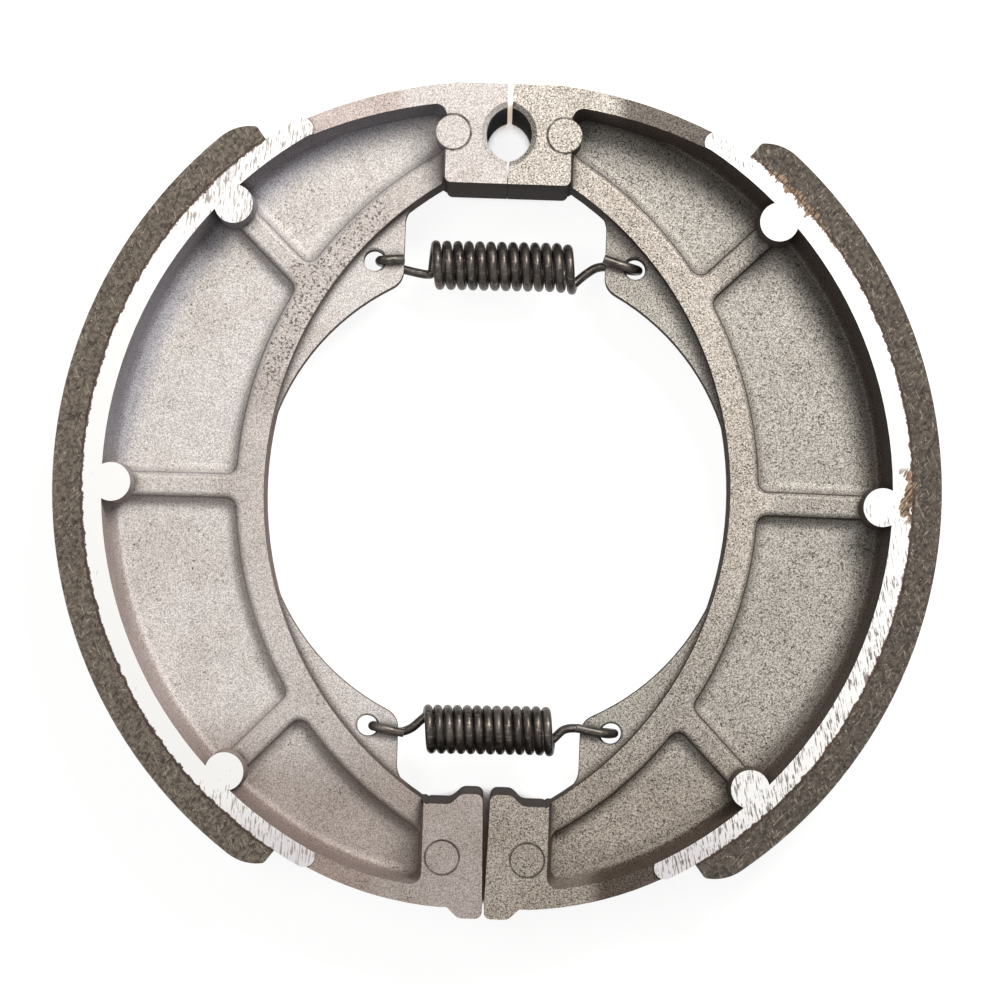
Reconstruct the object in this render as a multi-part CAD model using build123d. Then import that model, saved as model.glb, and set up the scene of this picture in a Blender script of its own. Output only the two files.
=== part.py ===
from build123d import *
import os
from math import cos, degrees, hypot, radians, sin, sqrt, tan

# Pair of drum brake shoes with their two return springs, lying flat and drawn together.
# Millimetres. +Y points from the drum's axis to the anchor, +X to the right-hand shoe.
# The origin is on the drum's axis, half way through the width of the shoes.
# Every shape is drawn for the right-hand shoe; the left-hand one is its mirror image.

# Drum and lining
DRUM_RADIUS = 90.0
LINING_WIDTH = 27.6
LINING_THICKNESS = 5.6
LINING_START = 36.8  # degrees from the anchor, round the shoe's own arc centre
LINING_END = 148.2
LINING_END_FACE = 2.9  # radial height of the square end below the run-out
LINING_RUNOUT = 7.0  # length over which the lining's ends are rounded off
LINING_END_CORNER = 1.2
BOND_SPACE = 0.2  # between the turned seat and the lining
BOND_GAP = 0.05  # between the turned seat and the adhesive
BOND_EDGE_GAP = 0.3

# How the loose shoe stands: swung in about the anchor by the springs
ANCHOR_INSET = 19.8  # from the drum's surface to the anchor pin's axis
SWING_IN = 2.36
FACE_TILT = 1.46  # end faces are parallel once the shoes stand apart on anchor and cam
ANCHOR_FACE_GAP = 0.16  # between the two shoes at the lower edge of the anchor blocks
CAM_FACE_GAP = 0.4  # between the two shoes at the outer edge of the cam blocks

# Casting
CAST_HALF_WIDTH = 13.5
MACHINED_STEP = 0.5  # the machined seat stands this far above the raw rim, each way
RIM_THICKNESS = 3.8
RIM_START = 31.9
RIM_END = 152.2
END_ARC_RADIUS = 95.0
BLOCK_HALF_WIDTH = 12.3
BLOCK_CORNER = 1.2
DRAFT = 5.0
WEB_HALF_THICKNESS = 3.0
EAR_HALF_THICKNESS = 2.5
SHELF_HALF_HEIGHT = 6.5  # inner flange and rib tops
POCKET_CORNER = 2.2
POCKET_FLOOR_FILLET = 2.2
SHELF_EDGE_ROUND = 1.0  # along the tops of the ribs and the inner flange

# Anchor block
ANCHOR_END_INSET = 10.0  # from the drum's surface to the end of the shoe
ANCHOR_FLAT = 10.0
ANCHOR_BLOCK_DEPTH = 19.6
SEAT_RADIUS = 5.5
SEAT_OVERLAP = 1.05  # how far the seat's centre lies beyond the split between the shoes
SEAT_CHAMFER = 1.0

# Cam block
CAM_END_INSET = 8.4  # from the drum's surface to the end of the shoe
CAM_FLAT = 9.0
CAM_BLOCK_DEPTH = 20.2
TOE_WIDTH = 4.9
TOE_HEIGHT = 2.1
TOE_SLOPE = 2.2
TOE_CORNER = 2.0
TOE_FACE_CORNER = 1.4

# Inner flange, drawn as two arcs about a centre beyond the drum's axis
FLANGE_CENTRE_OFFSET = 26.1
FLANGE_RISE = 0.86  # the inner arc meets the anchor block's side this far above its lower edge
FLANGE_WIDTH = 5.4

# Ribs and their machined bosses
RIB_ANGLES = (45.9, 90.4, 136.1)
RIB_WIDTH = 4.4
BOSS_RADIUS = 3.8
BOSS_RIM_OVERLAP = 1.9  # how far the boss reaches into the rim
BOSS_DRAFT = 1.5

# Ejector pads
PAD_RADIUS = 3.35
PAD_RAISE = 0.25
PAD_X = 11.0
CAM_PAD_X = 8.35
CAM_PAD_INSET = 9.7  # from the outer edge of the cam block
CAM_PAD_SINK = 0.2

# Spring ears
EAR_DEPTH = 6.42  # from the anchor-side hole's centre to the ears' inner arc
EAR_ARC_DROP = 1.3
EAR_TIP_RADIUS = 4.0
EAR_ROOT_RADIUS = 5.0
ANCHOR_EAR_EDGE_X = 20.1
CAM_EAR_EDGE_X = 18.2
HOLE_RADIUS = 2.1
HOLE_CHAMFER = 0.4
ANCHOR_HOLE_DROP = 14.8  # below the anchor block
ANCHOR_HOLE_INSET = 3.06  # from the flange's inner arc
CAM_HOLE_RISE = 14.3  # above the cam block
CAM_HOLE_INSET = 3.32

# Return springs
WIRE_RADIUS = 0.9
COIL_OUTER_RADIUS = 4.9
COIL_TURNS = 13
ANCHOR_COIL_X = -0.3  # middle of the coil
ANCHOR_COIL_GAP = 0.36  # between neighbouring turns
CAM_COIL_X = 0.15
CAM_COIL_GAP = 0.1
HOOK_CLEARANCE = 0.15  # wire to hole wall, and wire to the ear's two faces
HOOK_BEND = 1.7
COIL_BEND = 2.0
COIL_END_ANGLE = 35.0  # the coil stops this many degrees short of its lowest point
HOOK_RETURN = 0.5  # the free end stops this far short of the ear's edge

# Worked out from the above
SEAT_HALF_WIDTH = CAST_HALF_WIDTH + MACHINED_STEP
LINING_INNER_RADIUS = DRUM_RADIUS - LINING_THICKNESS
RIM_RADIUS = LINING_INNER_RADIUS - BOND_SPACE
ANCHOR_Y = DRUM_RADIUS - ANCHOR_INSET
ANCHOR_END_Y = DRUM_RADIUS - ANCHOR_END_INSET
CAM_END_Y = CAM_END_INSET - DRUM_RADIUS
ARC_CENTRE_X = -ANCHOR_Y * sin(radians(SWING_IN))
ARC_CENTRE_Y = ANCHOR_Y * (1 - cos(radians(SWING_IN)))
SHELF_INSET = RIM_THICKNESS + (SEAT_HALF_WIDTH - SHELF_HALF_HEIGHT) * tan(radians(DRAFT))
SHELF_SIDE_X = BLOCK_HALF_WIDTH + (CAST_HALF_WIDTH - SHELF_HALF_HEIGHT) * tan(radians(DRAFT))
ANCHOR_INNER_Y = ANCHOR_END_Y - ANCHOR_BLOCK_DEPTH
CAM_INNER_Y = CAM_END_Y + CAM_BLOCK_DEPTH
FLANGE_INNER_RADIUS = hypot(FLANGE_CENTRE_OFFSET + BLOCK_HALF_WIDTH, ANCHOR_INNER_Y + FLANGE_RISE)
ANCHOR_HOLE_Y = ANCHOR_INNER_Y - ANCHOR_HOLE_DROP
CAM_HOLE_Y = CAM_INNER_Y + CAM_HOLE_RISE
ANCHOR_HOLE_X = sqrt((FLANGE_INNER_RADIUS - ANCHOR_HOLE_INSET) ** 2 - ANCHOR_HOLE_Y**2) - FLANGE_CENTRE_OFFSET
CAM_HOLE_X = sqrt((FLANGE_INNER_RADIUS - CAM_HOLE_INSET) ** 2 - CAM_HOLE_Y**2) - FLANGE_CENTRE_OFFSET
EAR_ARC_RADIUS = hypot(ANCHOR_HOLE_X, ANCHOR_HOLE_Y + EAR_ARC_DROP) - EAR_DEPTH
REACH = 2 * DRUM_RADIUS  # longer than anything that it clears
OVERCUT = MACHINED_STEP  # how far a cutter runs past the face that it opens
TOUCH = 0.001


def arc_point(radius, angle):
    """Point at a radius and angle, clockwise from +Y, round the shoe's own arc centre."""
    turn = radians(angle)
    return (ARC_CENTRE_X + radius * sin(turn), ARC_CENTRE_Y + radius * cos(turn))


def arc_tangent(angle):
    turn = radians(angle)
    return (cos(turn), -sin(turn))


def anchor_face_x(y):
    """The anchor end face touches its neighbour at the lower edge and leans away above."""
    return ANCHOR_FACE_GAP / 2 + (y - ANCHOR_INNER_Y) * tan(radians(FACE_TILT))


def cam_face_x(y):
    return CAM_FACE_GAP / 2 + (y - CAM_END_Y) * tan(radians(FACE_TILT))


def ring_sector(inner, outer, start, end):
    """Flat sector of a ring about the shoe's own arc centre."""
    middle = (start + end) / 2
    edges = [
        ThreePointArc(arc_point(outer, start), arc_point(outer, middle), arc_point(outer, end)),
        Line(arc_point(outer, end), arc_point(inner, end)),
        ThreePointArc(arc_point(inner, end), arc_point(inner, middle), arc_point(inner, start)),
        Line(arc_point(inner, start), arc_point(outer, start)),
    ]
    return make_face(Curve() + edges)


def rim_outline(radius, inset, inner_edge):
    """Plan of all that lies inside the shoe's outer edge, moved in by an inset.

    The inner edge closes it, from the cam end to the anchor end.
    """
    flat_end = (ANCHOR_FLAT, ANCHOR_END_Y - inset)
    arc_start = arc_point(radius - inset, RIM_START)
    arc_middle = arc_point(radius - inset, (RIM_START + RIM_END) / 2)
    arc_end = arc_point(radius - inset, RIM_END)
    cam_flat = (CAM_FLAT, CAM_END_Y + inset)
    edges = [
        Line(inner_edge[-1], flat_end),
        RadiusArc(flat_end, arc_start, END_ARC_RADIUS - inset),
        ThreePointArc(arc_start, arc_middle, arc_end),
        TangentArc(arc_end, cam_flat, tangent=arc_tangent(RIM_END)),
        Line(cam_flat, inner_edge[0]),
        Polyline(*inner_edge),
    ]
    return make_face(Curve() + edges)


def casting_outline():
    inner_edge = [
        (cam_face_x(CAM_END_Y), CAM_END_Y),
        (cam_face_x(CAM_INNER_Y), CAM_INNER_Y),
        (anchor_face_x(ANCHOR_INNER_Y), ANCHOR_INNER_Y),
        (anchor_face_x(ANCHOR_END_Y), ANCHOR_END_Y),
    ]
    return rim_outline(RIM_RADIUS - MACHINED_STEP, 0, inner_edge)


def anchor_block_outline():
    """Block between the split face and the first pocket, down to its lower edge."""
    points = [
        (anchor_face_x(ANCHOR_INNER_Y), ANCHOR_INNER_Y),
        (BLOCK_HALF_WIDTH, ANCHOR_INNER_Y),
        (BLOCK_HALF_WIDTH, ANCHOR_END_Y - RIM_THICKNESS),
        (anchor_face_x(ANCHOR_END_Y), ANCHOR_END_Y - RIM_THICKNESS),
    ]
    return make_face(FilletPolyline(*points, radius=[0, BLOCK_CORNER, 0, 0], close=True))


def cam_block_outline():
    """Block beside the cam face, with a rounded toe on its inner and outer end."""
    toe_in = CAM_INNER_Y + TOE_HEIGHT
    toe_out = CAM_END_Y - TOE_HEIGHT
    points = [
        (cam_face_x(toe_out), toe_out),
        (TOE_WIDTH, toe_out),
        (TOE_WIDTH + TOE_SLOPE, CAM_END_Y),
        (BLOCK_HALF_WIDTH, CAM_END_Y + RIM_THICKNESS / 2),
        (BLOCK_HALF_WIDTH, CAM_INNER_Y),
        (TOE_WIDTH + TOE_SLOPE, CAM_INNER_Y),
        (TOE_WIDTH, toe_in),
        (cam_face_x(toe_in), toe_in),
    ]
    radii = [
        TOE_FACE_CORNER,
        TOE_CORNER,
        TOE_CORNER,
        0,
        BLOCK_CORNER,
        TOE_CORNER,
        TOE_CORNER,
        TOE_FACE_CORNER,
    ]
    return make_face(FilletPolyline(*points, radius=radii, close=True))


def flange_disc(radius):
    return Pos(-FLANGE_CENTRE_OFFSET, 0) * Circle(radius)


def shelf_ground():
    """All the room at shelf height between the rim and the two blocks."""
    inner_edge = [(0, CAM_END_Y + SHELF_INSET), (0, ANCHOR_END_Y - SHELF_INSET)]
    inside_rim = rim_outline(RIM_RADIUS, SHELF_INSET, inner_edge)
    right_of_blocks = Pos(SHELF_SIDE_X + REACH / 2, 0) * Rectangle(REACH, 2 * REACH)
    return inside_rim & right_of_blocks


def drafted(outline, height, side):
    """Room from shelf height up or down with the casting's draft and rounded corners.

    The two places where the rim's own arcs run together stay as they are.
    """
    top = Pos(0, 0, SHELF_HALF_HEIGHT) * outline
    room = extrude(top, height, dir=(0, 0, side), taper=-side * DRAFT)
    joints = [arc_point(RIM_RADIUS - SHELF_INSET, angle) for angle in (RIM_START, RIM_END)]
    corners = []
    for edge in room.edges():
        foot, head = edge @ 0, edge @ 1
        near = min(hypot(foot.X - x, foot.Y - y) for x, y in joints)
        if abs(head.Z - foot.Z) > height / 2 and near > height * tan(radians(DRAFT)) + TOUCH:
            corners.append(edge)
    return fillet(corners, POCKET_CORNER)


def rib_outline(angle):
    x, y = arc_point(RIM_RADIUS / 2, angle)
    return Pos(x, y) * Rot(0, 0, -angle) * Rectangle(RIB_WIDTH, RIM_RADIUS)


def pocket_outlines():
    """The four pockets at shelf height, between rim, ribs, blocks and inner flange."""
    ground = shelf_ground() - flange_disc(FLANGE_INNER_RADIUS + FLANGE_WIDTH)
    for angle in RIB_ANGLES:
        ground -= rib_outline(angle)
    return ground.faces()


def shelf_tool():
    """Clears the room above the inner flange, out to past the machined faces."""
    outline = shelf_ground().faces()[0]
    return drafted(outline, SEAT_HALF_WIDTH - SHELF_HALF_HEIGHT + OVERCUT, 1)


def pocket_tool(outline):
    """One pocket from shelf height down to the web, rounded at its floor and its mouth."""
    block = drafted(outline, SHELF_HALF_HEIGHT - WEB_HALF_THICKNESS, -1)
    floor = block.faces().sort_by(Axis.Z)[0]
    block = fillet(floor.edges(), POCKET_FLOOR_FILLET)
    mouth = block.faces().sort_by(Axis.Z)[-1]
    block += extrude(offset(mouth, 2 * SHELF_EDGE_ROUND), OVERCUT)
    border = mouth.outer_wire()
    level = level_edges(block, SHELF_HALF_HEIGHT)
    lip = [edge for edge in level if border.distance_to(edge @ 0.5) < TOUCH]
    return fillet(lip, SHELF_EDGE_ROUND)


def level_edges(piece, height):
    """Edges that lie flat at one height above or below the middle of the width."""
    return [
        edge
        for edge in piece.edges()
        if all(abs(abs((edge @ along).Z) - height) < TOUCH for along in (0, 0.5, 1))
    ]


def machined_seat():
    """Turned outer seat and milled side bands, one ring sector with rounded ends."""
    inner = RIM_RADIUS - RIM_THICKNESS - OVERCUT
    band = ring_sector(inner, RIM_RADIUS, RIM_START, RIM_END)
    end_radius = (RIM_RADIUS - inner) / 2
    for angle in (RIM_START, RIM_END):
        x, y = arc_point(inner + end_radius, angle)
        band += Pos(x, y) * Circle(end_radius)
    return extrude(band, SEAT_HALF_WIDTH, both=True)


def boss(angle):
    """Round boss at a rib's outer end, machined flush with the side band."""
    x, y = arc_point(RIM_RADIUS - RIM_THICKNESS - BOSS_RADIUS + BOSS_RIM_OVERLAP, angle)
    height = SEAT_HALF_WIDTH - WEB_HALF_THICKNESS
    foot_radius = BOSS_RADIUS + height * tan(radians(BOSS_DRAFT))
    centre = WEB_HALF_THICKNESS + height / 2
    return Pos(x, y, centre) * Cone(foot_radius, BOSS_RADIUS, height)


def anchor_pad():
    """Ejector pad that stands half on the anchor block and half in the first pocket."""
    height = CAST_HALF_WIDTH + PAD_RAISE - WEB_HALF_THICKNESS
    return Pos(PAD_X, ANCHOR_Y, WEB_HALF_THICKNESS + height / 2) * Cylinder(PAD_RADIUS, height)


def cam_pad_mark():
    height = 2 * CAM_PAD_SINK
    return Pos(CAM_PAD_X, CAM_END_Y + CAM_PAD_INSET, CAST_HALF_WIDTH) * Cylinder(PAD_RADIUS, height)


def chamfered_bore(x, y, radius, half_length, chamfer):
    """Cutter for a round hole along Z, with a chamfer at both of its faces."""
    cutter = Pos(x, y) * Cylinder(radius, REACH)
    mouth = Cone(radius, radius + 2 * chamfer, 2 * chamfer)
    for side, flip in ((1, 0), (-1, 180)):
        cutter += Pos(x, y, side * half_length) * Rot(flip, 0, 0) * mouth
    return cutter


def ear_outline():
    """Plan of both spring ears, run out into the inner flange that carries them."""
    reach = Pos(REACH / 2, 0)
    upper = Pos(ANCHOR_EAR_EDGE_X, REACH / 2) * reach * Rectangle(REACH, REACH)
    lower = Pos(CAM_EAR_EDGE_X, -REACH / 2) * reach * Rectangle(REACH, REACH)
    ears = (upper + lower) & flange_disc(FLANGE_INNER_RADIUS)
    ears -= Pos(0, -EAR_ARC_DROP) * Circle(EAR_ARC_RADIUS)
    band = flange_disc(FLANGE_INNER_RADIUS + FLANGE_WIDTH / 2) - flange_disc(FLANGE_INNER_RADIUS)
    right_half = Pos(BLOCK_HALF_WIDTH - BLOCK_CORNER, 0) * reach * Rectangle(REACH, 2 * REACH)
    plan = ears + (band & right_half)
    return round_ear(round_ear(plan, ANCHOR_EAR_EDGE_X, 1), CAM_EAR_EDGE_X, -1)


def round_ear(plan, edge_x, side):
    """Round one ear's tip, and the corner where its straight edge meets the flange."""
    tip_y = side * sqrt(EAR_ARC_RADIUS**2 - edge_x**2) - EAR_ARC_DROP
    root_y = side * sqrt(FLANGE_INNER_RADIUS**2 - (edge_x + FLANGE_CENTRE_OFFSET) ** 2)
    for y, radius in ((tip_y, EAR_TIP_RADIUS), (root_y, EAR_ROOT_RADIUS)):
        face = plan.faces()[0]
        corner = face.vertices().sort_by_distance((edge_x, y, 0))[0]
        plan = Sketch() + face.fillet_2d(radius, [corner])
    return plan


def shoe():
    """The right-hand shoe casting."""
    plan = casting_outline() - flange_disc(FLANGE_INNER_RADIUS)
    plan = plan + anchor_block_outline() + cam_block_outline()
    body = extrude(plan, CAST_HALF_WIDTH, both=True) + machined_seat()
    above = shelf_tool()
    below = drafted(shelf_ground().faces()[0], SHELF_HALF_HEIGHT, -1)
    pockets = [pocket_tool(outline) & (above + below) for outline in pocket_outlines()]
    for cutter in [above] + pockets:
        body -= cutter
        body -= mirror(cutter, about=Plane.XY)
    body += extrude(ear_outline(), EAR_HALF_THICKNESS, both=True)
    for angle in RIB_ANGLES:
        body += boss(angle)
    body += anchor_pad()
    body -= cam_pad_mark()
    body -= chamfered_bore(-SEAT_OVERLAP, ANCHOR_Y, SEAT_RADIUS, CAST_HALF_WIDTH, SEAT_CHAMFER)
    for x, y in ((ANCHOR_HOLE_X, ANCHOR_HOLE_Y), (CAM_HOLE_X, CAM_HOLE_Y)):
        body -= chamfered_bore(x, y, HOLE_RADIUS, EAR_HALF_THICKNESS, HOLE_CHAMFER)
    return body


def lining():
    """Friction lining: a ring sector whose outer corners run out in a curve at both ends."""
    shoulder = LINING_INNER_RADIUS + LINING_END_FACE
    runout = degrees(LINING_RUNOUT / DRUM_RADIUS)
    start, end = LINING_START + runout, LINING_END - runout
    middle = (start + end) / 2
    outer_start, outer_end = arc_point(DRUM_RADIUS, start), arc_point(DRUM_RADIUS, end)
    inner_start = arc_point(LINING_INNER_RADIUS, LINING_START)
    inner_middle = arc_point(LINING_INNER_RADIUS, middle)
    inner_end = arc_point(LINING_INNER_RADIUS, LINING_END)
    corner_start, corner_end = arc_point(shoulder, LINING_START), arc_point(shoulder, LINING_END)
    edges = [
        ThreePointArc(outer_start, arc_point(DRUM_RADIUS, middle), outer_end),
        TangentArc(outer_end, corner_end, tangent=arc_tangent(end)),
        Line(corner_end, inner_end),
        ThreePointArc(inner_end, inner_middle, inner_start),
        Line(inner_start, corner_start),
        TangentArc(outer_start, corner_start, tangent=[-part for part in arc_tangent(start)]),
    ]
    plan = make_face(Curve() + edges).faces()[0]
    corners = [plan.vertices().sort_by_distance((*at, 0))[0] for at in (corner_start, corner_end)]
    return extrude(plan.fillet_2d(LINING_END_CORNER, corners), LINING_WIDTH / 2, both=True)


def bond_film():
    """Cured adhesive between the turned seat and the lining."""
    margin = degrees(BOND_EDGE_GAP / RIM_RADIUS)
    start, end = LINING_START + margin, LINING_END - margin
    sector = ring_sector(RIM_RADIUS + BOND_GAP, LINING_INNER_RADIUS, start, end)
    return extrude(sector, SEAT_HALF_WIDTH - BOND_EDGE_GAP, both=True)


def tube(path):
    """Round wire along a path."""
    start = Plane(path @ 0, z_dir=path % 0)
    return sweep(start * Circle(WIRE_RADIUS), path=path, is_frenet=True)


def hook(side, coil_end, direction, hole_x, hole_y, ear_edge_x):
    """Hook at one end of a spring: under the ear, up through its hole and back over the top."""
    level = EAR_HALF_THICKNESS + HOOK_CLEARANCE + WIRE_RADIUS
    riser_x = side * (hole_x - HOLE_RADIUS + WIRE_RADIUS + HOOK_CLEARANCE)
    below_axis = coil_end + direction * (hole_y - coil_end.Y) / direction.Y
    points = [
        coil_end,
        below_axis,
        (riser_x, hole_y, -level),
        (riser_x, hole_y, level),
        (side * (ear_edge_x + HOOK_RETURN), hole_y, level),
    ]
    return tube(FilletPolyline(*points, radius=[COIL_BEND, HOOK_BEND, HOOK_BEND]))


def spring(coil_x, coil_gap, hole_x, hole_y, ear_edge_x):
    """Extension spring along X: a close coil whose two ends run down and out into hooks."""
    pitch = 2 * WIRE_RADIUS + coil_gap
    rise = pitch * (COIL_TURNS - 2 * COIL_END_ANGLE / 360)
    helix = Helix(pitch, rise, COIL_OUTER_RADIUS - WIRE_RADIUS, direction=(1, 0, 0))
    path = Pos(coil_x - rise / 2, hole_y, 0) * Rot(180 + COIL_END_ANGLE, 0, 0) * helix
    left_hook = hook(-1, path @ 0, -(path % 0), hole_x, hole_y, ear_edge_x)
    right_hook = hook(1, path @ 1, path % 1, hole_x, hole_y, ear_edge_x)
    return tube(path) + left_hook + right_hook


def left_hand(piece):
    return mirror(piece, about=Plane.YZ)


def build():
    right_shoe, right_lining, right_film = shoe(), lining(), bond_film()
    return {
        "right_shoe": right_shoe,
        "left_shoe": left_hand(right_shoe),
        "right_lining": right_lining,
        "left_lining": left_hand(right_lining),
        "right_bond_film": right_film,
        "left_bond_film": left_hand(right_film),
        "anchor_side_spring": spring(
            ANCHOR_COIL_X,
            ANCHOR_COIL_GAP,
            ANCHOR_HOLE_X,
            ANCHOR_HOLE_Y,
            ANCHOR_EAR_EDGE_X,
        ),
        "cam_side_spring": spring(
            CAM_COIL_X,
            CAM_COIL_GAP,
            CAM_HOLE_X,
            CAM_HOLE_Y,
            CAM_EAR_EDGE_X,
        ),
    }


os.makedirs("parts", exist_ok=True)
for name, piece in build().items():
    export_step(piece, f"parts/{name}.step")
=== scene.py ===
import math

import bpy
import numpy as np
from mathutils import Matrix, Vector


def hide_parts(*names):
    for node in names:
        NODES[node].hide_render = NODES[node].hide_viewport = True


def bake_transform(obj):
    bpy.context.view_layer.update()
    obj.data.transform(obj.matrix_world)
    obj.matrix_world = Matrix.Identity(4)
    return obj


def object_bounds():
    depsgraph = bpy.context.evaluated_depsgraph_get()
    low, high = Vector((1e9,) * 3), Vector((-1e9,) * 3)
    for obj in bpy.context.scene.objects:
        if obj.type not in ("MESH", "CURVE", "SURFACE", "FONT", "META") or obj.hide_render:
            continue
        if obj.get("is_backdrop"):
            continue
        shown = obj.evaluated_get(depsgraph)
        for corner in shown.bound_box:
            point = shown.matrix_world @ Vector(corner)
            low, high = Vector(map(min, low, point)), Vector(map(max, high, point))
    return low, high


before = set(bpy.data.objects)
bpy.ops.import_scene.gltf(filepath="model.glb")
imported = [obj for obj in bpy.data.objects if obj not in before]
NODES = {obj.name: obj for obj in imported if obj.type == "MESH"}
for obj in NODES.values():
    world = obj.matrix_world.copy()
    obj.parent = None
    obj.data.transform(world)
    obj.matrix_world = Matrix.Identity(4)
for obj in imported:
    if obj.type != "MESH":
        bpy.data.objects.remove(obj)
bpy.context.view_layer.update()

# View: straight down on the front, the photograph's nadir a little towards the cam end
MM = 0.001
FRONT_Z = 14 * MM
FRAME_WIDTH = 195.7 * MM
CAMERA_HEIGHT = 690 * MM
NADIR = Vector((0.59, -17.4)) * MM
AIM = Vector((0.64, -1.55)) * MM
ROLL = math.radians(1.95)
SENSOR = 36.0
FLOOR_HALF = 3.0  # metres

# Places on the shoes, worked out as in the solid model
ANCHOR_Y = 70.2 * MM
SWING_IN = math.radians(2.36)
RIM_ARC_CENTRE = Vector((-ANCHOR_Y * math.sin(SWING_IN), ANCHOR_Y * (1 - math.cos(SWING_IN))))
HUB_ARC_CENTRE = Vector((-26.1, 0.0)) * MM
HUB_ARC_RADIUS = 72.3 * MM

# Outlines of the ejector pins: centre, radius and half of the line's width, in millimetres
EJECTOR_PINS = [((11.0, 70.2), 3.5, 0.26), ((8.35, -71.9), 3.4, 0.20)]

# Edges between kinds of surface, each from where it starts to where it is full, in millimetres
FLANGE_HEIGHT = (5.8, 6.3)
BLOCK_HEIGHT = (7.0, 7.6)
RAW_FACE_HEIGHT = (13.2, 13.4)
PIN_MARK_HEIGHT = (13.2, 13.3)
MILLED_FACE_HEIGHT = (13.86, 13.92)
FLANGE_REACH = (9.5, 8.0)  # outwards from the hub arc
HUB_WALL_REACH = (0.9, 0.6)
RIM_WALL_RADIUS = (78.0, 78.9)
RIM_TOP_RADIUS = (81.2, 81.0)
LINING_SEAM_RADIUS = (83.95, 84.15)

GRAIN = 3900.0  # cast grain, per metre
SPOT_SHARE = 0.72  # scale of the dark spots' noise against the grain's

# Colours, and tints that multiply a colour
# Dirt and painted shade in the corners
SHADE_AND_GRIME = (0.040, 0.028, 0.023)
PEPPER = (0.055, 0.050, 0.040)
# Painted shade for the blocks' walls and for the outer walls
BLOCK_WALL_SHADE = (0.10, 0.082, 0.072)
OUTER_WALL_SHADE = (0.74, 0.72, 0.71)
BINDER = [(0.062, 0.048, 0.037), (0.185, 0.152, 0.120)]  # the lining's darkest and lightest binder
# Painted shade for the floor seen through the gaps between the shoes
CAM_GAP_SHADE = (0.030, 0.017, 0.012)
ANCHOR_GAP_SHADE = (0.70, 0.55, 0.42)
WHITE = (1.0, 1.0, 1.0)
MILLED = (0.90, 0.89, 0.875)
CAM_END_MILLED = (0.72, 0.69, 0.70)


class Nodes:
    """Short hand for building one node material."""

    def __init__(self, name):
        self.material = bpy.data.materials.new(name)
        self.material.use_nodes = True
        self.tree = self.material.node_tree
        self.tree.nodes.clear()
        self.out = self.tree.nodes.new("ShaderNodeOutputMaterial")

    def add(self, kind, inputs=(), **settings):
        node = self.tree.nodes.new(kind)
        for key, value in settings.items():
            setattr(node, key, value)
        for key, value in dict(inputs).items():
            self.feed(node.inputs[key], value)
        return node

    def feed(self, socket, value):
        if isinstance(value, bpy.types.NodeSocket):
            self.tree.links.new(value, socket)
        elif isinstance(value, tuple) and len(value) == 3 and socket.type == "RGBA":
            socket.default_value = (*value, 1.0)
        else:
            socket.default_value = value

    def place(self):
        return self.add("ShaderNodeTexCoord").outputs["Object"]

    def split(self, vector):
        return self.add("ShaderNodeSeparateXYZ", {"Vector": vector}).outputs

    def math(self, operation, a, b=0.0):
        node = self.add("ShaderNodeMath", operation=operation)
        for socket, value in zip(node.inputs, (a, b)):
            self.feed(socket, value)
        return node.outputs[0]

    def ramp(self, value, low, high, start=0.0, end=1.0):
        node = self.add("ShaderNodeMapRange", interpolation_type="SMOOTHSTEP")
        for key, item in zip(("Value", "From Min", "From Max", "To Min", "To Max"),
                             (value, low, high, start, end)):
            self.feed(node.inputs[key], item)
        return node.outputs["Result"]

    def zone(self, value, edge, start=0.0, end=1.0):
        """Ramp across an edge that is given in millimetres."""
        return self.ramp(value, edge[0] * MM, edge[1] * MM, start, end)

    def mix(self, factor, a, b, blend="MIX"):
        node = self.add("ShaderNodeMix", data_type="RGBA", blend_type=blend)
        self.feed(node.inputs["Factor"], factor)
        self.feed(node.inputs["A"], a)
        self.feed(node.inputs["B"], b)
        return node.outputs["Result"]

    def tint(self, mask, colour, shade):
        return self.mix(mask, colour, shade, "MULTIPLY")

    def scaled(self, vector, scale, turn=0.0):
        """Turned about Z and then stretched, so that streaks lie at the turned angle."""
        turned = self.add("ShaderNodeVectorRotate", {"Vector": vector, "Angle": turn}, rotation_type="Z_AXIS")
        stretched = self.add("ShaderNodeVectorMath", {0: turned.outputs[0], 1: scale}, operation="MULTIPLY")
        return stretched.outputs[0]

    def noise(self, vector, scale, detail=2.0, roughness=0.5):
        return self.add("ShaderNodeTexNoise", {"Vector": vector, "Scale": scale, "Detail": detail,
                                               "Roughness": roughness}).outputs["Fac"]

    def ragged(self, vector, scale, detail, roughness, reach):
        """Noise about zero that roughens an edge by up to half the reach, in millimetres."""
        rough = self.math("SUBTRACT", self.noise(vector, scale, detail, roughness), 0.5)
        return self.product(rough, reach * MM)

    def polar(self, x, y, centre):
        """Distance from a centre, and the clockwise angle from +Y in degrees."""
        dx = self.math("SUBTRACT", x, centre[0])
        dy = self.math("SUBTRACT", y, centre[1])
        reach = self.math("SQRT", self.math("ADD", self.product(dx, dx), self.product(dy, dy)))
        return reach, self.product(self.math("ARCTAN2", dx, dy), 180 / math.pi)

    def product(self, *values):
        result = values[0]
        for value in values[1:]:
            result = self.math("MULTIPLY", result, value)
        return result

    def without(self, mask):
        return self.math("SUBTRACT", 1.0, mask)

    def bump(self, height, strength, distance):
        return self.add("ShaderNodeBump", {"Height": height, "Strength": strength,
                                           "Distance": distance}).outputs["Normal"]

    def surface(self, **inputs):
        shader = self.add("ShaderNodeBsdfPrincipled")
        for key, value in inputs.items():
            self.feed(shader.inputs[key.replace("_", " ")], value)
        self.tree.links.new(shader.outputs[0], self.out.inputs["Surface"])
        return self.material


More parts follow.
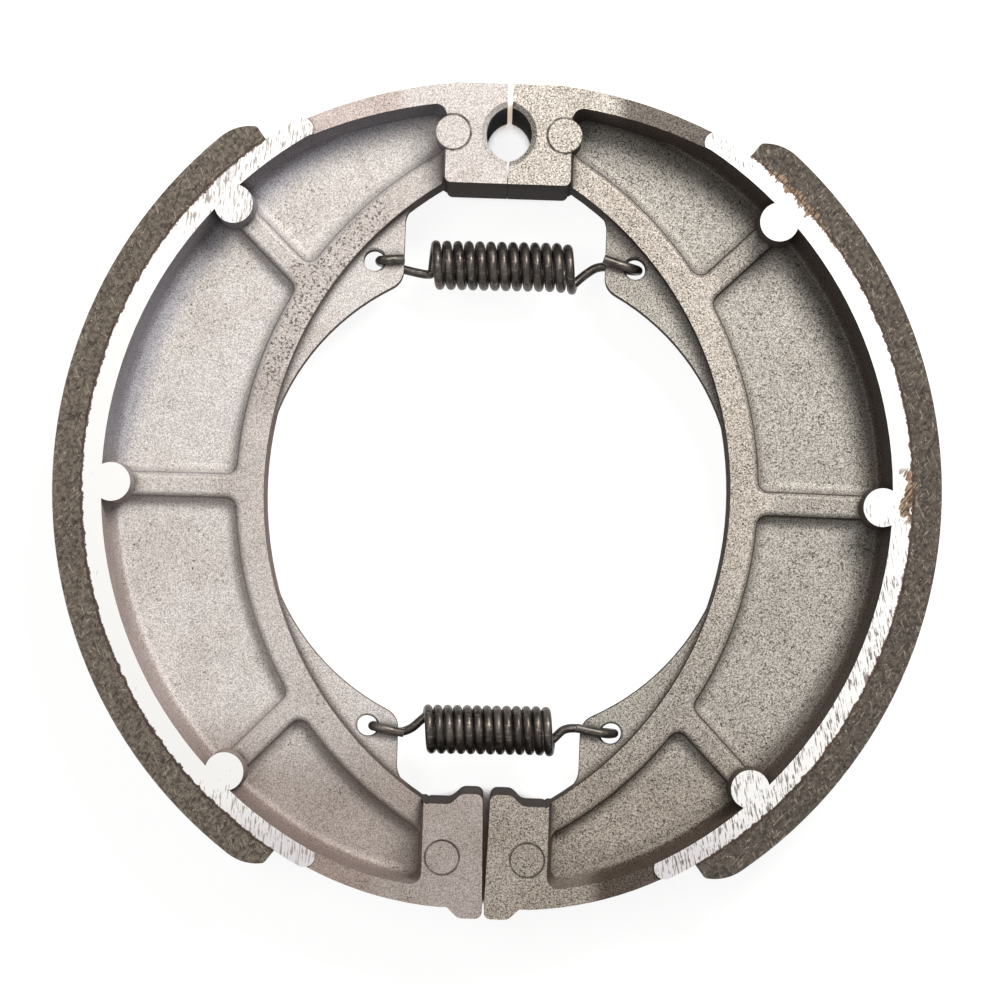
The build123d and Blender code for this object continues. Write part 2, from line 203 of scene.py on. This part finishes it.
class CastSurface(Nodes):
    """A shoe's material, with the places and noises that its paint refers to."""

    def __init__(self, name):
        super().__init__(name)
        self.at = self.place()
        x, self.y, self.z = self.split(self.at)
        self.side = self.math("ABSOLUTE", x)
        self.height = self.math("ABSOLUTE", self.z)
        self.radius, self.angle = self.polar(self.side, self.y, RIM_ARC_CENTRE)
        from_hub_arc = self.polar(self.side, self.y, HUB_ARC_CENTRE)[0]
        self.hub_reach = self.math("SUBTRACT", from_hub_arc, HUB_ARC_RADIUS)
        normal = self.add("ShaderNodeNewGeometry").outputs["Normal"]
        self.up = self.math("ABSOLUTE", self.split(normal)[2])
        self.wall = self.ramp(self.up, 0.6, 0.25)
        self.rim_side = self.product(self.zone(self.radius, RIM_WALL_RADIUS),
                                     self.zone(self.radius, RIM_TOP_RADIUS),
                                     self.zone(self.height, (13.1, 12.9)))
        self.fine = self.noise(self.at, GRAIN, 2.0, 0.8)
        self.medium = self.noise(self.at, 420.0, 3.0, 0.7)
        self.coarse = self.noise(self.at, 70.0, 4.0, 0.6)
        self.spots = self.noise(self.at, GRAIN * SPOT_SHARE, 1.0)


def ring_line(n, centre, radius, half_width):
    """1 on a thin ring round a centre, 0 elsewhere."""
    reach = n.polar(n.side, n.y, (centre[0] * MM, centre[1] * MM))[0]
    off = n.math("ABSOLUTE", n.math("SUBTRACT", reach, radius * MM))
    return n.zone(off, (half_width * 1.5, half_width * 0.4))


def glue_stain(n, place, radius, angle):
    """Where brown adhesive was squeezed out over the seam, in two patches."""
    ragged = n.math("SUBTRACT", n.noise(n.scaled(place, (900.0, 260.0, 300.0), 0.6), 1.0, 3.0, 0.7), 0.5)
    spread = n.math("SUBTRACT", radius, n.product(ragged, 4.5 * MM))
    swell = n.product(n.ramp(angle, 39.0, 43.0), n.ramp(angle, 51.0, 48.0), 0.6 * MM)
    inside = n.product(n.zone(n.math("ADD", spread, swell), (84.0, 84.3)),
                       n.zone(n.math("SUBTRACT", spread, swell), (84.8, 84.4)))
    first = n.product(n.ramp(angle, 36.5, 38.5), n.ramp(angle, 59.0, 54.0))
    second = n.product(n.ramp(angle, 84.6, 85.6), n.ramp(angle, 92.9, 91.9), n.zone(spread, (84.4, 84.1)))
    wide = n.zone(n.math("SUBTRACT", radius, n.product(ragged, 9 * MM)), (82.2, 82.8))
    return n.math("MAXIMUM", n.product(inside, first), n.product(wide, second))


def glue_colour(n, place):
    tone = n.noise(n.scaled(place, (2600.0, 500.0, 500.0), 0.6), 1.0, 2.0, 0.7)
    return n.mix(n.ramp(tone, 0.38, 0.62), (0.050, 0.027, 0.017), (0.36, 0.25, 0.165))


def cast_grain(n, light, dark, contrast):
    """Grain, cloudy darker patches and pepper, and the pits that also dent the surface."""
    colour = n.mix(n.ramp(n.fine, 0.40, 0.60), dark, light)
    colour = n.tint(n.ramp(n.coarse, 0.42, 0.66, 0.0, 0.30), colour, (0.62, 0.57, 0.52))
    pepper = n.product(n.ramp(n.spots, 0.53, 0.64), n.ramp(n.medium, 0.38, 0.62, 0.5, 1.0), contrast)
    colour = n.mix(pepper, colour, PEPPER)
    pits = n.product(n.ramp(n.spots, 0.68, 0.72), n.ramp(n.coarse, 0.49, 0.58))
    return n.mix(n.product(pits, 0.85), colour, (0.05, 0.04, 0.032)), pits


def upper_flats_and_dots(n, colour, tints, dotted):
    """Blocks and inner flange, retinted above the middle, with a dense run of dark dots on the upper flange.
    """
    flange = n.product(n.zone(n.hub_reach, FLANGE_REACH), n.zone(n.height, FLANGE_HEIGHT))
    raised = n.product(n.math("MAXIMUM", flange, n.zone(n.height, BLOCK_HEIGHT)), n.ramp(n.up, 0.85, 0.95))
    # The raised flats above the middle take the flat tint
    colour = n.tint(n.product(raised, n.zone(n.y, (-40, -5))), colour, tints["flat"])
    dots = n.product(n.ramp(n.noise(n.at, 1900.0, 1.0), 0.57, 0.63), n.zone(n.y, (12, 24)),
                     n.zone(n.y, (64, 56)), n.zone(n.side, (22, 25)), n.zone(n.radius, (77, 75)))
    return n.mix(n.product(dots, raised, dotted), colour, (0.060, 0.052, 0.045))


def shade_and_raw_rim(n, colour, tints):
    """Painted shade towards the cam end and on the shelves' rounded tops, and darker metal on the raw rim at
    the lining's ends.
    """
    # Painted shade: the metal darkens towards the cam end, where less light falls
    cam_end_shade = n.zone(n.math("ADD", n.y, n.product(n.coarse, 20 * MM)), (-32, -52))
    colour = n.tint(cam_end_shade, colour, tints["cam_end_shade"])
    raw_rim = n.product(n.zone(n.height, RAW_FACE_HEIGHT), n.zone(n.side, (19, 24)))
    colour = n.tint(raw_rim, colour, n.mix(n.zone(n.y, (-20, 20)), tints["low_rim"], tints["rim"]))
    # Painted shade on the rounded tops of the ribs and flange
    shelf_shade = n.product(n.zone(n.height, (5.2, 6.3)), n.zone(n.height, (7.2, 6.7)), n.ramp(n.up, 0.5, 0.8))
    return n.tint(shelf_shade, colour, (0.90, 0.885, 0.875))


def wall_and_rim_shade(n, colour, tints, rim_shadow_starts):
    """Painted shadow that darkens the pocket floors towards the rim, and painted shade that makes the inner
    walls darker than the flats.
    """
    low_start, high_start = rim_shadow_starts
    rim_shadow_start = n.zone(n.y, (-25, 25), low_start * MM, high_start * MM)
    # Painted shadow of the rim wall on the pocket floors beside it
    rim_shadow = n.product(n.ramp(n.radius, rim_shadow_start, 79.5 * MM), n.zone(n.height, (8, 6)),
                         n.zone(n.y, (-62, -52), 0.5, 1.0), n.without(n.rim_side), n.ramp(n.up, 0.15, 0.40))
    colour = n.tint(rim_shadow, colour, tints["corner"])
    facing_hub = n.zone(n.hub_reach, HUB_WALL_REACH)
    block_wall = n.product(facing_hub, n.zone(n.math("ABSOLUTE", n.y), (57, 60)))
    outside = n.math("MAXIMUM", n.zone(n.radius, (81.6, 82.4)),
                     n.product(n.zone(n.side, (24, 18)), n.zone(n.radius, (77, 79))))
    # Painted shade on the walls: darkest on the inner flange's and the blocks' walls, lightest on the outer
    # walls
    shade = n.mix(n.zone(n.y, (-15, 15)), tints["low_wall"], tints["wall"])
    shade = n.mix(facing_hub, shade, tints["hub"])
    shade = n.mix(block_wall, shade, BLOCK_WALL_SHADE)
    shade = n.mix(outside, shade, OUTER_WALL_SHADE)
    return n.tint(n.math("MAXIMUM", n.wall, n.rim_side), colour, shade)


def pin_outlines(n, colour):
    lines = n.math("MAXIMUM", *[ring_line(n, *pin) for pin in EJECTOR_PINS])
    worn = n.ramp(n.noise(n.at, 500.0, 1.0), 0.35, 0.6, 0.55, 1.0)
    return n.mix(n.product(lines, n.zone(n.z, PIN_MARK_HEIGHT), worn), colour, (0.075, 0.060, 0.050))


def corner_shade_and_grime(n, colour, clean_rim):
    """Dirt and painted shade in every corner, from the occlusion, apart from those at a lower rim that is
    left light.
    """
    open_sky = n.add("ShaderNodeAmbientOcclusion", {"Distance": 2.2 * MM}, samples=5).outputs["AO"]
    clean = n.product(n.zone(n.radius, (74, 77)), n.zone(n.y, (30, 5)), clean_rim)
    grime_and_shade = n.product(n.ramp(open_sky, 0.48, 0.86, 1.0, 0.0), n.without(clean), 0.94)
    return n.mix(grime_and_shade, colour, SHADE_AND_GRIME)


def milled_metal(n, lean, nicked, nick_tone, glued):
    """Bright band with leaning cutter marks, a dark seam at the lining and adhesive on one shoe."""
    streaks = n.noise(n.scaled(n.at, (2800.0, 280.0, 1.0), math.radians(lean)), 1.0, 2.0, 0.7)
    ends = [n.product(n.zone(n.y, (start, full)), weight) for start, full, weight in nicked]
    ends = n.product(n.math("MAXIMUM", *ends), n.ramp(n.medium, 0.40, 0.58, 0.62, 1.0), 0.21)
    nicks = n.product(n.ramp(n.math("ADD", streaks, ends), 0.70, 0.78), 0.92)
    # The milled band is darker at the cam end
    bright = n.mix(nicks, n.mix(n.zone(n.y, (-60, -70)), MILLED, CAM_END_MILLED), nick_tone)
    chatter = n.ragged(n.at, 700.0, 3.0, 0.7, 1.6)
    seam = n.product(n.zone(n.math("ADD", n.radius, chatter), LINING_SEAM_RADIUS),
                     n.zone(n.y, (68, 67)), n.zone(n.y, (-72, -71)))
    bright = n.mix(seam, bright, (0.09, 0.055, 0.04))
    if glued:
        bright = n.mix(glue_stain(n, n.at, n.radius, n.angle), bright, glue_colour(n, n.at))
    return bright


def cast_metal(name, light, dark, contrast, tints, rim_shadow_starts, clean_rim, dotted,
               lean, nicked, nick_tone, glued):
    """Die-cast aluminium with grain, dirt and painted shade in its corners, painted shade on its walls, and a
    milled outer band.
    """
    n = CastSurface(name)
    colour, pits = cast_grain(n, light, dark, contrast)
    colour = upper_flats_and_dots(n, colour, tints, dotted)
    colour = shade_and_raw_rim(n, colour, tints)
    colour = wall_and_rim_shade(n, colour, tints, rim_shadow_starts)
    colour = pin_outlines(n, colour)
    colour = corner_shade_and_grime(n, colour, clean_rim)
    ragged = n.ragged(n.at, 900.0, 2.0, 0.5, 0.10)
    milled = n.product(n.zone(n.math("ADD", n.height, ragged), MILLED_FACE_HEIGHT), n.ramp(n.up, 0.7, 0.9))
    colour = n.mix(milled, colour, milled_metal(n, lean, nicked, nick_tone, glued))
    rough = n.math("ADD", n.product(n.fine, 0.25), n.ramp(n.wall, 0.0, 1.0, 0.42, 0.72))
    metal = n.product(n.ramp(milled, 0.0, 1.0, 0.22, 0.10), n.without(n.wall))
    relief = n.math("ADD", n.product(n.fine, 0.5), n.product(n.medium, 0.9))
    relief = n.product(n.math("SUBTRACT", relief, n.product(pits, 0.5)), n.without(n.product(milled, 0.85)))
    return n.surface(Base_Color=colour, Metallic=metal, Roughness=rough, Specular_IOR_Level=0.2,
                     Normal=n.bump(relief, 0.6, 0.15 * MM))


def friction_compound(name, level, glued):
    """Ground moulded lining: dark binder with short fibres, light flecks and a ragged dark seam."""
    n = Nodes(name)
    place = n.place()
    x, y, z = n.split(place)
    radius, angle = n.polar(n.math("ABSOLUTE", x), y, RIM_ARC_CENTRE)
    fibre_a = n.noise(n.scaled(place, (2900.0, 420.0, 600.0), 0.75), 1.0, 2.0, 0.6)
    fibre_b = n.noise(n.scaled(place, (2700.0, 380.0, 600.0), -0.35), 1.0, 2.0, 0.6)
    cracks = n.noise(n.scaled(place, (1500.0, 420.0, 600.0), 0.45), 1.0, 3.0, 0.7)
    body = n.noise(place, 1100.0, 3.0, 0.8)
    fibres = n.math("MAXIMUM", fibre_a, fibre_b)
    low, high = [tuple(level * part for part in tone) for tone in BINDER]
    colour = n.mix(n.ramp(body, 0.36, 0.64), low, high)
    colour = n.mix(n.ramp(fibres, 0.60, 0.72, 0.0, 0.75), colour, (0.36, 0.31, 0.25))
    fleck = n.ramp(n.noise(place, 2000.0, 1.0), 0.68, 0.74)
    colour = n.mix(n.product(fleck, 0.6), colour, (0.50, 0.43, 0.35))
    crack = n.ramp(cracks, 0.60, 0.68)
    colour = n.mix(n.product(crack, 0.75), colour, (0.022, 0.016, 0.012))
    chatter = n.ragged(place, 700.0, 3.0, 0.7, 1.8)
    seam = n.zone(n.math("ADD", radius, chatter), (84.75, 84.50))
    colour = n.mix(n.product(seam, 0.85), colour, (0.045, 0.024, 0.015))
    if glued:
        colour = n.mix(glue_stain(n, place, radius, angle), colour, glue_colour(n, place))
    relief = n.math("SUBTRACT", n.math("ADD", fibres, body), crack)
    return n.surface(Base_Color=colour, Roughness=0.86, Normal=n.bump(relief, 0.8, 0.18 * MM))


def oiled_wire(name):
    n = Nodes(name)
    place = n.place()
    film = n.noise(place, 260.0, 3.0, 0.6)
    scuff = n.ramp(n.noise(n.scaled(place, (500.0, 1600.0, 1600.0)), 1.0, 2.0), 0.56, 0.70)
    colour = n.mix(n.ramp(film, 0.35, 0.7), (0.050, 0.043, 0.038), (0.120, 0.102, 0.088))
    colour = n.mix(n.product(scuff, 0.5), colour, (0.30, 0.26, 0.22))
    rough = n.ramp(film, 0.3, 0.7, 0.28, 0.44)
    return n.surface(Base_Color=colour, Metallic=0.7, Roughness=rough,
                     Normal=n.bump(film, 0.25, 0.05 * MM))


def cured_adhesive(name):
    n = Nodes(name)
    place = n.place()
    body = n.noise(place, 500.0, 3.0, 0.6)
    colour = n.mix(n.ramp(body, 0.35, 0.65), (0.035, 0.017, 0.010), (0.14, 0.07, 0.035))
    return n.surface(Base_Color=colour, Roughness=0.35, Normal=n.bump(body, 0.6, 0.15 * MM))


def behind_object(tree):
    """1 for the rays that show the backdrop: camera, glossy and transmitted ones."""
    path = tree.nodes.new("ShaderNodeLightPath")
    shown = path.outputs["Is Camera Ray"]
    for kind in ("Is Glossy Ray", "Is Transmission Ray"):
        either = tree.nodes.new("ShaderNodeMath")
        either.operation = "MAXIMUM"
        tree.links.new(shown, either.inputs[0])
        tree.links.new(path.outputs[kind], either.inputs[1])
        shown = either.outputs[0]
    return shown


def pale_floor(name):
    """Pale floor that shows white where it is lit, painted shade in narrow gaps, and keeps the object's
    shadow.
    """
    n = Nodes(name)
    y = n.split(n.place())[1]
    open_sky = n.add("ShaderNodeAmbientOcclusion", {"Distance": 5 * MM}, samples=14).outputs["AO"]
    # Painted shade: where occlusion is high the floor takes the gap's colour, near-black at the cam end and
    # tan at the anchor
    gap_shade = n.mix(n.zone(y, (73, 77)), CAM_GAP_SHADE, ANCHOR_GAP_SHADE)
    tone = n.mix(n.ramp(open_sky, 0.32, 0.48), gap_shade, WHITE)
    grey = n.add("ShaderNodeBsdfDiffuse", {"Color": (0.30, 0.29, 0.28)})
    glow = n.add("ShaderNodeEmission", {"Color": tone, "Strength": 0.90})
    both = n.add("ShaderNodeAddShader", {0: grey.outputs[0], 1: glow.outputs[0]})
    pick = n.add("ShaderNodeMixShader", {0: behind_object(n.tree), 1: grey.outputs[0], 2: both.outputs[0]})
    n.feed(n.out.inputs["Surface"], pick.outputs[0])
    return n.material


def dress(node, material):
    mesh = NODES[node].data
    mesh.materials.clear()
    mesh.materials.append(material)


def tube(name, points, radius, sides=14):
    """Round wire along a dense run of points, with closed ends."""
    points = np.asarray(points, float)
    tangents = np.gradient(points, axis=0)
    tangents /= np.linalg.norm(tangents, axis=1)[:, None]
    side = np.cross(tangents[0], (0.3, 0.5, 0.8))
    rings = []
    for point, tangent in zip(points, tangents):
        side = side - tangent * side.dot(tangent)
        side /= np.linalg.norm(side)
        other = np.cross(tangent, side)
        turns = np.linspace(0, 2 * math.pi, sides, endpoint=False)
        rings.append(point + radius * (np.outer(np.cos(turns), side) + np.outer(np.sin(turns), other)))
    mesh = bpy.data.meshes.new(name)
    count = len(rings)
    faces = [
        (i * sides + j, i * sides + (j + 1) % sides, (i + 1) * sides + (j + 1) % sides, (i + 1) * sides + j)
        for i in range(count - 1)
        for j in range(sides)
    ]
    faces += [tuple(range(sides))[::-1], tuple((count - 1) * sides + j for j in range(sides))]
    mesh.from_pydata(np.concatenate(rings).tolist(), [], faces)
    mesh.polygons.foreach_set("use_smooth", [True] * (len(faces) - 2) + [False] * 2)
    piece = bpy.data.objects.new(name, mesh)
    bpy.context.scene.collection.objects.link(piece)
    return piece


def smooth_run(points, step=0.15 * MM):
    """Dense points on a smooth curve through a few points."""
    p = np.asarray(points, float)
    ends = np.vstack([2 * p[0] - p[1], p, 2 * p[-1] - p[-2]])
    run = []
    for a, b, c, d in zip(ends, ends[1:], ends[2:], ends[3:]):
        count = max(3, int(np.linalg.norm(c - b) / step))
        for t in np.linspace(0, 1, count, endpoint=False):
            run.append(0.5 * (2 * b + (c - a) * t + (2 * a - 5 * b + 4 * c - d) * t**2
                              + (3 * b - a - 3 * c + d) * t**3))
    run.append(p[-1])
    return np.array(run)


def area_lamp(name, place, size, power, tint):
    """Square lamp that points at the middle of the object."""
    lamp = bpy.data.lights.new(name, "AREA")
    lamp.energy = power
    lamp.shape = "RECTANGLE"
    lamp.size = lamp.size_y = size
    lamp.color = tint
    holder = bpy.data.objects.new(name, lamp)
    holder.location = place
    holder.rotation_euler = (-Vector(place)).to_track_quat("-Z", "Y").to_euler()
    bpy.context.scene.collection.objects.link(holder)


def room():
    """Weak cool light from all around, and a white backdrop for the rays that show it."""
    world = bpy.data.worlds.new("room")
    world.use_nodes = True
    tree = world.node_tree
    tree.nodes.clear()
    out = tree.nodes.new("ShaderNodeOutputWorld")
    air = tree.nodes.new("ShaderNodeBackground")
    air.inputs["Color"].default_value = (0.92, 0.95, 1.0, 1.0)
    air.inputs["Strength"].default_value = 0.12
    white = tree.nodes.new("ShaderNodeBackground")
    white.inputs["Strength"].default_value = 1.0
    both = tree.nodes.new("ShaderNodeMixShader")
    tree.links.new(behind_object(tree), both.inputs[0])
    tree.links.new(air.outputs[0], both.inputs[1])
    tree.links.new(white.outputs[0], both.inputs[2])
    tree.links.new(both.outputs[0], out.inputs["Surface"])
    bpy.context.scene.world = world


def camera():
    distance = CAMERA_HEIGHT - FRONT_Z
    lens = bpy.data.cameras.new("camera")
    lens.sensor_width = SENSOR
    lens.lens = SENSOR * distance / FRAME_WIDTH
    off = AIM - NADIR
    lens.shift_x = (off.x * math.cos(ROLL) + off.y * math.sin(ROLL)) / FRAME_WIDTH
    lens.shift_y = (off.y * math.cos(ROLL) - off.x * math.sin(ROLL)) / FRAME_WIDTH
    holder = bpy.data.objects.new("camera", lens)
    holder.location = (NADIR.x, NADIR.y, CAMERA_HEIGHT)
    holder.rotation_euler = (0, 0, ROLL)
    bpy.context.scene.collection.objects.link(holder)
    bpy.context.scene.camera = holder


def floor():
    mesh = bpy.data.meshes.new("floor")
    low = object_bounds()[0][2]
    corners = [(-FLOOR_HALF, -FLOOR_HALF, low), (FLOOR_HALF, -FLOOR_HALF, low),
               (FLOOR_HALF, FLOOR_HALF, low), (-FLOOR_HALF, FLOOR_HALF, low)]
    mesh.from_pydata(corners, [], [(0, 1, 2, 3)])
    mesh.materials.append(pale_floor("floor"))
    ground = bpy.data.objects.new("floor", mesh)
    bpy.context.scene.collection.objects.link(ground)
    ground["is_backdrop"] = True


# The tints for the cam end, the walls and the corners by the rim are painted shade
dress("left_shoe", cast_metal(
    "cast_left", light=(0.81, 0.765, 0.735), dark=(0.43, 0.395, 0.375), contrast=0.34,
    tints=dict(flat=(0.95, 0.935, 0.93), rim=(0.92, 0.85, 0.83), low_rim=(0.86, 0.79, 0.76),
               cam_end_shade=(0.62, 0.575, 0.55), wall=(0.50, 0.51, 0.58), low_wall=(0.72, 0.65, 0.64),
               hub=(0.50, 0.41, 0.38), corner=(0.55, 0.58, 0.68)),
    rim_shadow_starts=(79.3, 73.0), clean_rim=0.85, dotted=0.8, lean=4.0,
    nicked=[(44, 53, 1.0), (-56, -62, 1.0)], nick_tone=(0.34, 0.285, 0.255), glued=False))
dress("right_shoe", cast_metal(
    "cast_right", light=(0.64, 0.60, 0.545), dark=(0.22, 0.20, 0.175), contrast=0.88,
    tints=dict(flat=(1.32, 1.30, 1.285), rim=(0.27, 0.25, 0.24), low_rim=(0.26, 0.232, 0.218),
               cam_end_shade=(0.86, 0.81, 0.77), wall=(0.20, 0.17, 0.16), low_wall=(0.26, 0.22, 0.20),
               hub=(0.16, 0.125, 0.11), corner=(0.13, 0.11, 0.098)),
    rim_shadow_starts=(74.0, 71.0), clean_rim=0.0, dotted=0.0, lean=-12.0,
    nicked=[(60, 66, 0.75), (22, -25, 1.0)], nick_tone=(0.17, 0.135, 0.12), glued=True))
adhesive = cured_adhesive("adhesive")
wire = oiled_wire("wire")
for hand, level in (("left", 1.04), ("right", 0.67)):
    dress(hand + "_lining", friction_compound(hand + "_compound", level, glued=hand == "right"))
    dress(hand + "_bond_film", adhesive)

# Return springs, in millimetres. Each turn angle is counted round the coil's axis from +Y towards +Z.
WIRE_RADIUS = 0.9
COIL_RADIUS = 4.05
LEG_Z = 3.55
COIL_STEP = 12.0  # degrees between the points of a coil
SAG_ANGLE = 560.0  # the last turns, which droop towards the right-hand lead
SPRINGS = {
    "anchor_side_spring": dict(
        turns=(-110.5, 4553.0), first_x=-13.37, pitch=2.195, axis_y=(45.24, 45.60), sag=0.45,
        left=[(-19.9, 45.95, LEG_Z), (-21.4, 45.86, LEG_Z), (-23.2, 45.72, 3.62), (-24.55, 45.62, 2.85),
              (-24.95, 45.6, 1.2), (-24.95, 45.6, -1.2), (-24.55, 45.58, -2.85), (-23.2, 45.2, -3.62),
              (-21.4, 44.72, -LEG_Z), (-19.6, 44.3, -LEG_Z), (-17.4, 43.85, -3.45), (-15.7, 43.62, -3.6)],
        right=[(15.2, 43.75, -3.3), (16.7, 45.0, -3.45), (18.3, 46.0, -LEG_Z), (20.2, 46.35, -LEG_Z),
               (22.2, 46.1, -LEG_Z), (24.6, 45.80, -LEG_Z), (26.1, 45.65, -3.05), (26.75, 45.6, -1.7),
               (26.3, 45.6, 0.4), (25.5, 45.65, 2.3), (24.2, 45.90, 3.35), (22.0, 46.5, LEG_Z),
               (19.6, 47.25, LEG_Z)],
    ),
    "cam_side_spring": dict(
        turns=(-49.0, 4563.0), first_x=-11.82, pitch=1.962, axis_y=(-47.43, -46.98), sag=0.2,
        left=[(-16.9, -48.2, LEG_Z), (-19.0, -47.85, LEG_Z), (-21.4, -47.4, 3.64), (-22.85, -47.15, 2.87),
              (-23.25, -47.1, 1.2), (-23.25, -47.1, -1.2), (-22.85, -47.15, -2.87), (-21.4, -47.5, -3.64),
              (-19.4, -48.1, -LEG_Z), (-17.6, -48.3, -LEG_Z), (-15.6, -47.5, -3.40), (-13.9, -46.0, -3.1)],
        right=[(13.6, -48.1, -3.5), (14.9, -46.9, -LEG_Z), (16.6, -46.45, -LEG_Z), (18.6, -46.55, -LEG_Z),
               (20.6, -46.8, -LEG_Z), (22.9, -47.0, -LEG_Z), (24.4, -47.1, -3.05), (25.05, -47.1, -1.7),
               (24.6, -47.1, 0.4), (23.8, -47.1, 2.3), (22.5, -46.95, 3.35), (20.2, -46.6, LEG_Z),
               (17.3, -46.05, LEG_Z)],
    ),
}


def return_spring(node, turns, first_x, pitch, axis_y, sag, left, right):
    """Close coil with its two leads and hooks, as the photographed spring lies."""
    start, end = turns
    coil = []
    for angle in np.arange(start, end, COIL_STEP):
        share = (angle - start) / (end - start)
        droop = sag * max(0.0, (angle - end + SAG_ANGLE) / SAG_ANGLE)
        y = axis_y[0] + (axis_y[1] - axis_y[0]) * share - droop
        turn = math.radians(angle)
        x = first_x + pitch * (angle - 90.0) / 360.0
        coil.append((x, y + COIL_RADIUS * math.cos(turn), COIL_RADIUS * math.sin(turn)))
    piece = tube(node + "_wire", smooth_run(np.array(left + coil + right) * MM), WIRE_RADIUS * MM)
    piece.data.materials.append(wire)
    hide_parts(node)
    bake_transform(piece)


for node, facts in SPRINGS.items():
    return_spring(node, **facts)

floor()
area_lamp("key", (0.20, 0.36, 0.50), 0.26, 4.2, (1.0, 0.985, 0.96))
area_lamp("over", (-0.30, 0.10, 1.10), 0.5, 3.0, (1.0, 0.985, 0.97))
room()
camera()
bpy.context.scene.view_settings.view_transform = "Standard"
